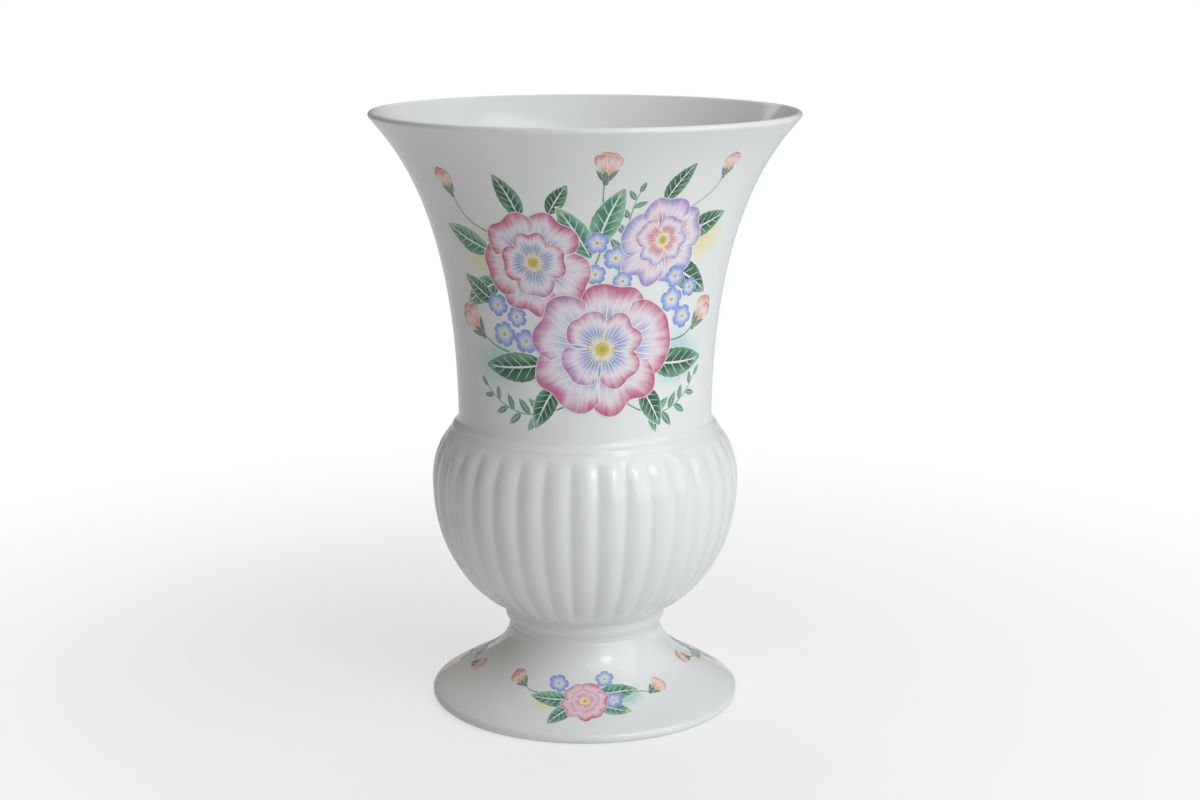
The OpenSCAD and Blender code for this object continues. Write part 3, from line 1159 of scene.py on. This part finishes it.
# %% Back spray
BACK = (neck_skin, "back_print", "back_transfer")
lay_washes(BACK, "back_washes", ((lemon_wash, 158, 170, 32, 28), (sea_wash, 203, 154, 32, 26)))
lay_stems(BACK, "back_stems", (
    (((180, 140), (186, 158), (190, 168), (196, 186)), 0.8, 0.5),
    (((174, 160), (166, 168), (156, 166), (148, 178)), 0.7, 0.35),
    (((178, 176), (176, 186), (178, 194), (174, 200)), 0.7, 0.35),
    (((182, 150), (196, 152), (206, 150), (212, 160)), 0.7, 0.35),
))
lay_sprig(BACK, "back_sprig_1", 7.5, ((178, 148), (168, 140), (158, 138), (146, 149)))
lay_sprig(BACK, "back_sprig_2", 7.5, ((182, 146), (192, 138), (204, 136), (214, 146)))
for number, ink, leaves in (
    (1, leaf_ink, ((180, 150, -118, 23, 10, 0.15), (182, 146, 118, 21, 10, -0.13))),
    (2, mint_ink, ((190, 176, 100, 21, 9, 0.12), (166, 172, -78, 21, 9, 0.12))),
    (3, leaf_ink, ((198, 192, 20, 18, 8, 0.12), (180, 182, -12, 19, 8, -0.12))),
):
    lay_leaves(BACK, f"back_leaves_{number}", ink, leaves)
lay_each(BACK, make_blossoms, [(200, 170, "back_blossoms", ((0, 0), (7, 5), (-6, 7)), 4.2, 31)])
lay_each(BACK, make_rose, (
    (196, 186, "back_rose_2", rose_ink, 15, 25, 33),
    (176, 164, "back_rose_1", lilac_ink, 20, 15, 32, 4),
))
lay_each(BACK, make_bud, (
    (148, 177, "back_bud_1", 13, -30, 34),
    (174, 199, "back_bud_2", 12, -8, 35),
    (212, 159, "back_bud_3", 12, 36, 36),
))

# %% [markdown]
# ## Three sprays round the foot
# The foot repeats one small spray three times round its dome. It is modelled once per place from the
# same motifs, each with its own seed, so that no two are quite alike.

# %% Foot sprays
for number in (1, 2, 3):
    area = (foot_skin, "foot_print", f"foot_transfer_{number}")
    middle = (number - 1) * 120
    seed = 40 + 10 * number
    lay_washes(area, f"foot_washes_{number}", (
        (lemon_wash, middle - 19, 10.5, 20, 13),
        (sea_wash, middle + 21, 12, 22, 14),
    ))
    lay_stems(area, f"foot_stems_{number}", (
        (((middle - 6, 12), (middle - 16, 16), (middle - 24, 11), (middle - 33, 14)), 0.6, 0.35),
        (((middle + 6, 12), (middle + 16, 9), (middle + 25, 15), (middle + 34, 12)), 0.6, 0.35),
    ))
    lay_leaves(area, f"foot_leaves_{number}", mint_ink, (
        (middle - 6, 12, -98, 17, 8, 0.14), (middle - 5, 10.5, -128, 14, 7, -0.12),
        (middle + 6, 13, 80, 17, 8, 0.14), (middle + 5, 11, 118, 15, 7, -0.12),
    ))
    blossom_places = ((-10, 6), (11, -2), (7.5, 8))
    lay_each(area, make_blossoms, [(middle, 12.5, f"foot_blossoms_{number}", blossom_places, 4, seed)])
    lay_each(area, make_rose, [
        (middle, 11.5, f"foot_rose_{number}", pink_ink, 9.5, 20 * number, seed + 1, 6),
    ])
    lay_each(area, make_bud, (
        (middle - 33, 14, f"foot_bud_left_{number}", 9.5, -58, seed + 2),
        (middle + 34, 12, f"foot_bud_right_{number}", 9.5, 66, seed + 2),
    ))

# %% [markdown]
# ## Floor and light
# A plain pale floor carries the vase's shadow and fades to white away from it. What the camera sees of
# it is mixed with plain white by distance, so that the white costs the vase no extra light. Reflections
# see only part of the white of floor and world, so that the vase keeps its edge against them. A large
# soft window, slightly cool, stands to the right of the front, and a small brighter pane beside it
# leaves the glints on the glaze. A softer window lights the back, a weak warm one opens the shadows on
# the left, and the world itself is dim and faintly warm, so that the shadow side is not blue.

# %% Floor
FLOOR_MIRRORED = 0.35
WHITE_NEAR = 0.6
bpy.ops.object.select_all(action="DESELECT")
bpy.ops.mesh.primitive_circle_add(vertices=96, radius=8, fill_type="NGON", location=(0, 0, -0.0002))
floor = bpy.context.object
floor.name = "floor"

floor_finish, floor_shader, floor_place = new_finish("pale_floor")
floor_shader.inputs["Base Color"].default_value = (0.88, 0.88, 0.88, 1)
floor_shader.inputs["Roughness"].default_value = 0.9
seen = floor_place.add("LightPath", output="Is Camera Ray")
mirrored = floor_place.add("LightPath", output="Is Glossy Ray")
passed = floor_place.add("LightPath", output="Is Transmission Ray")
away = floor_place.add("VectorMath", {"operation": "LENGTH"}, {0: floor_place}, output=1)
white = floor_place.add("Emission", {}, {"Color": (1, 1, 1, 1), "Strength": 1.0})
looked_at = seen.most(mirrored * FLOOR_MIRRORED).most(passed)
share = (WHITE_NEAR + away.rise(0.07, 0.45) * (1 - WHITE_NEAR)) * looked_at
plain = Wire(floor_place.tree, floor_shader.outputs[0])
shown = floor_place.add("MixShader", {}, {0: share, 1: plain, 2: white})
feed(shown, floor_place.tree.nodes["Material Output"], "Surface")
floor.data.materials.append(floor_finish)
print("floor", tuple(floor.dimensions))

# %% World and lamps
WORLD_DIM = 0.12
WORLD_MIRRORED = 0.15
world = bpy.data.worlds.new("even_white")
world.use_nodes = True
bpy.context.scene.world = world
air = Wire(world.node_tree, world.node_tree.nodes.new("ShaderNodeLightPath").outputs["Is Camera Ray"])
backdrop = air.most(air.add("LightPath", output="Is Glossy Ray") * WORLD_MIRRORED)
background = world.node_tree.nodes["Background"]
feed(WORLD_DIM + backdrop * (1 - WORLD_DIM), background, "Strength")
feed(backdrop.blend((1, 0.94, 0.88, 1), (1, 1, 1, 1)), background, "Color")


def add_window(name, azimuth, elevation, distance, size, power, colour):
    """A soft rectangular lamp that faces the vase's middle from a side, in degrees right of the front."""
    a = math.radians(azimuth)
    e = math.radians(elevation)
    middle = Vector((0, 0, rim_z / 2))
    way = Vector((math.sin(a) * math.cos(e), -math.cos(a) * math.cos(e), math.sin(e)))
    bpy.ops.object.light_add(type="AREA", location=middle + way * distance)
    lamp = bpy.context.object
    lamp.name = name
    lamp.rotation_euler = way.to_track_quat("Z", "Y").to_euler()
    lamp.data.shape = "RECTANGLE"
    lamp.data.size = size[0]
    lamp.data.size_y = size[1]
    lamp.data.energy = power
    lamp.data.color = colour
    return lamp


add_window("window_right", 48, 34, 1.3, (1.5, 1.7), 15.2, (0.9, 0.965, 1))
add_window("window_pane", 34, 36, 1.1, (0.24, 0.34), 1.2, (0.95, 0.98, 1))
add_window("window_back", 185, 50, 1.5, (1.3, 1.3), 6.0, (0.97, 0.985, 1))
add_window("fill_left", -80, 20, 1.6, (1.2, 1.2), 0.7, (1, 0.96, 0.92))
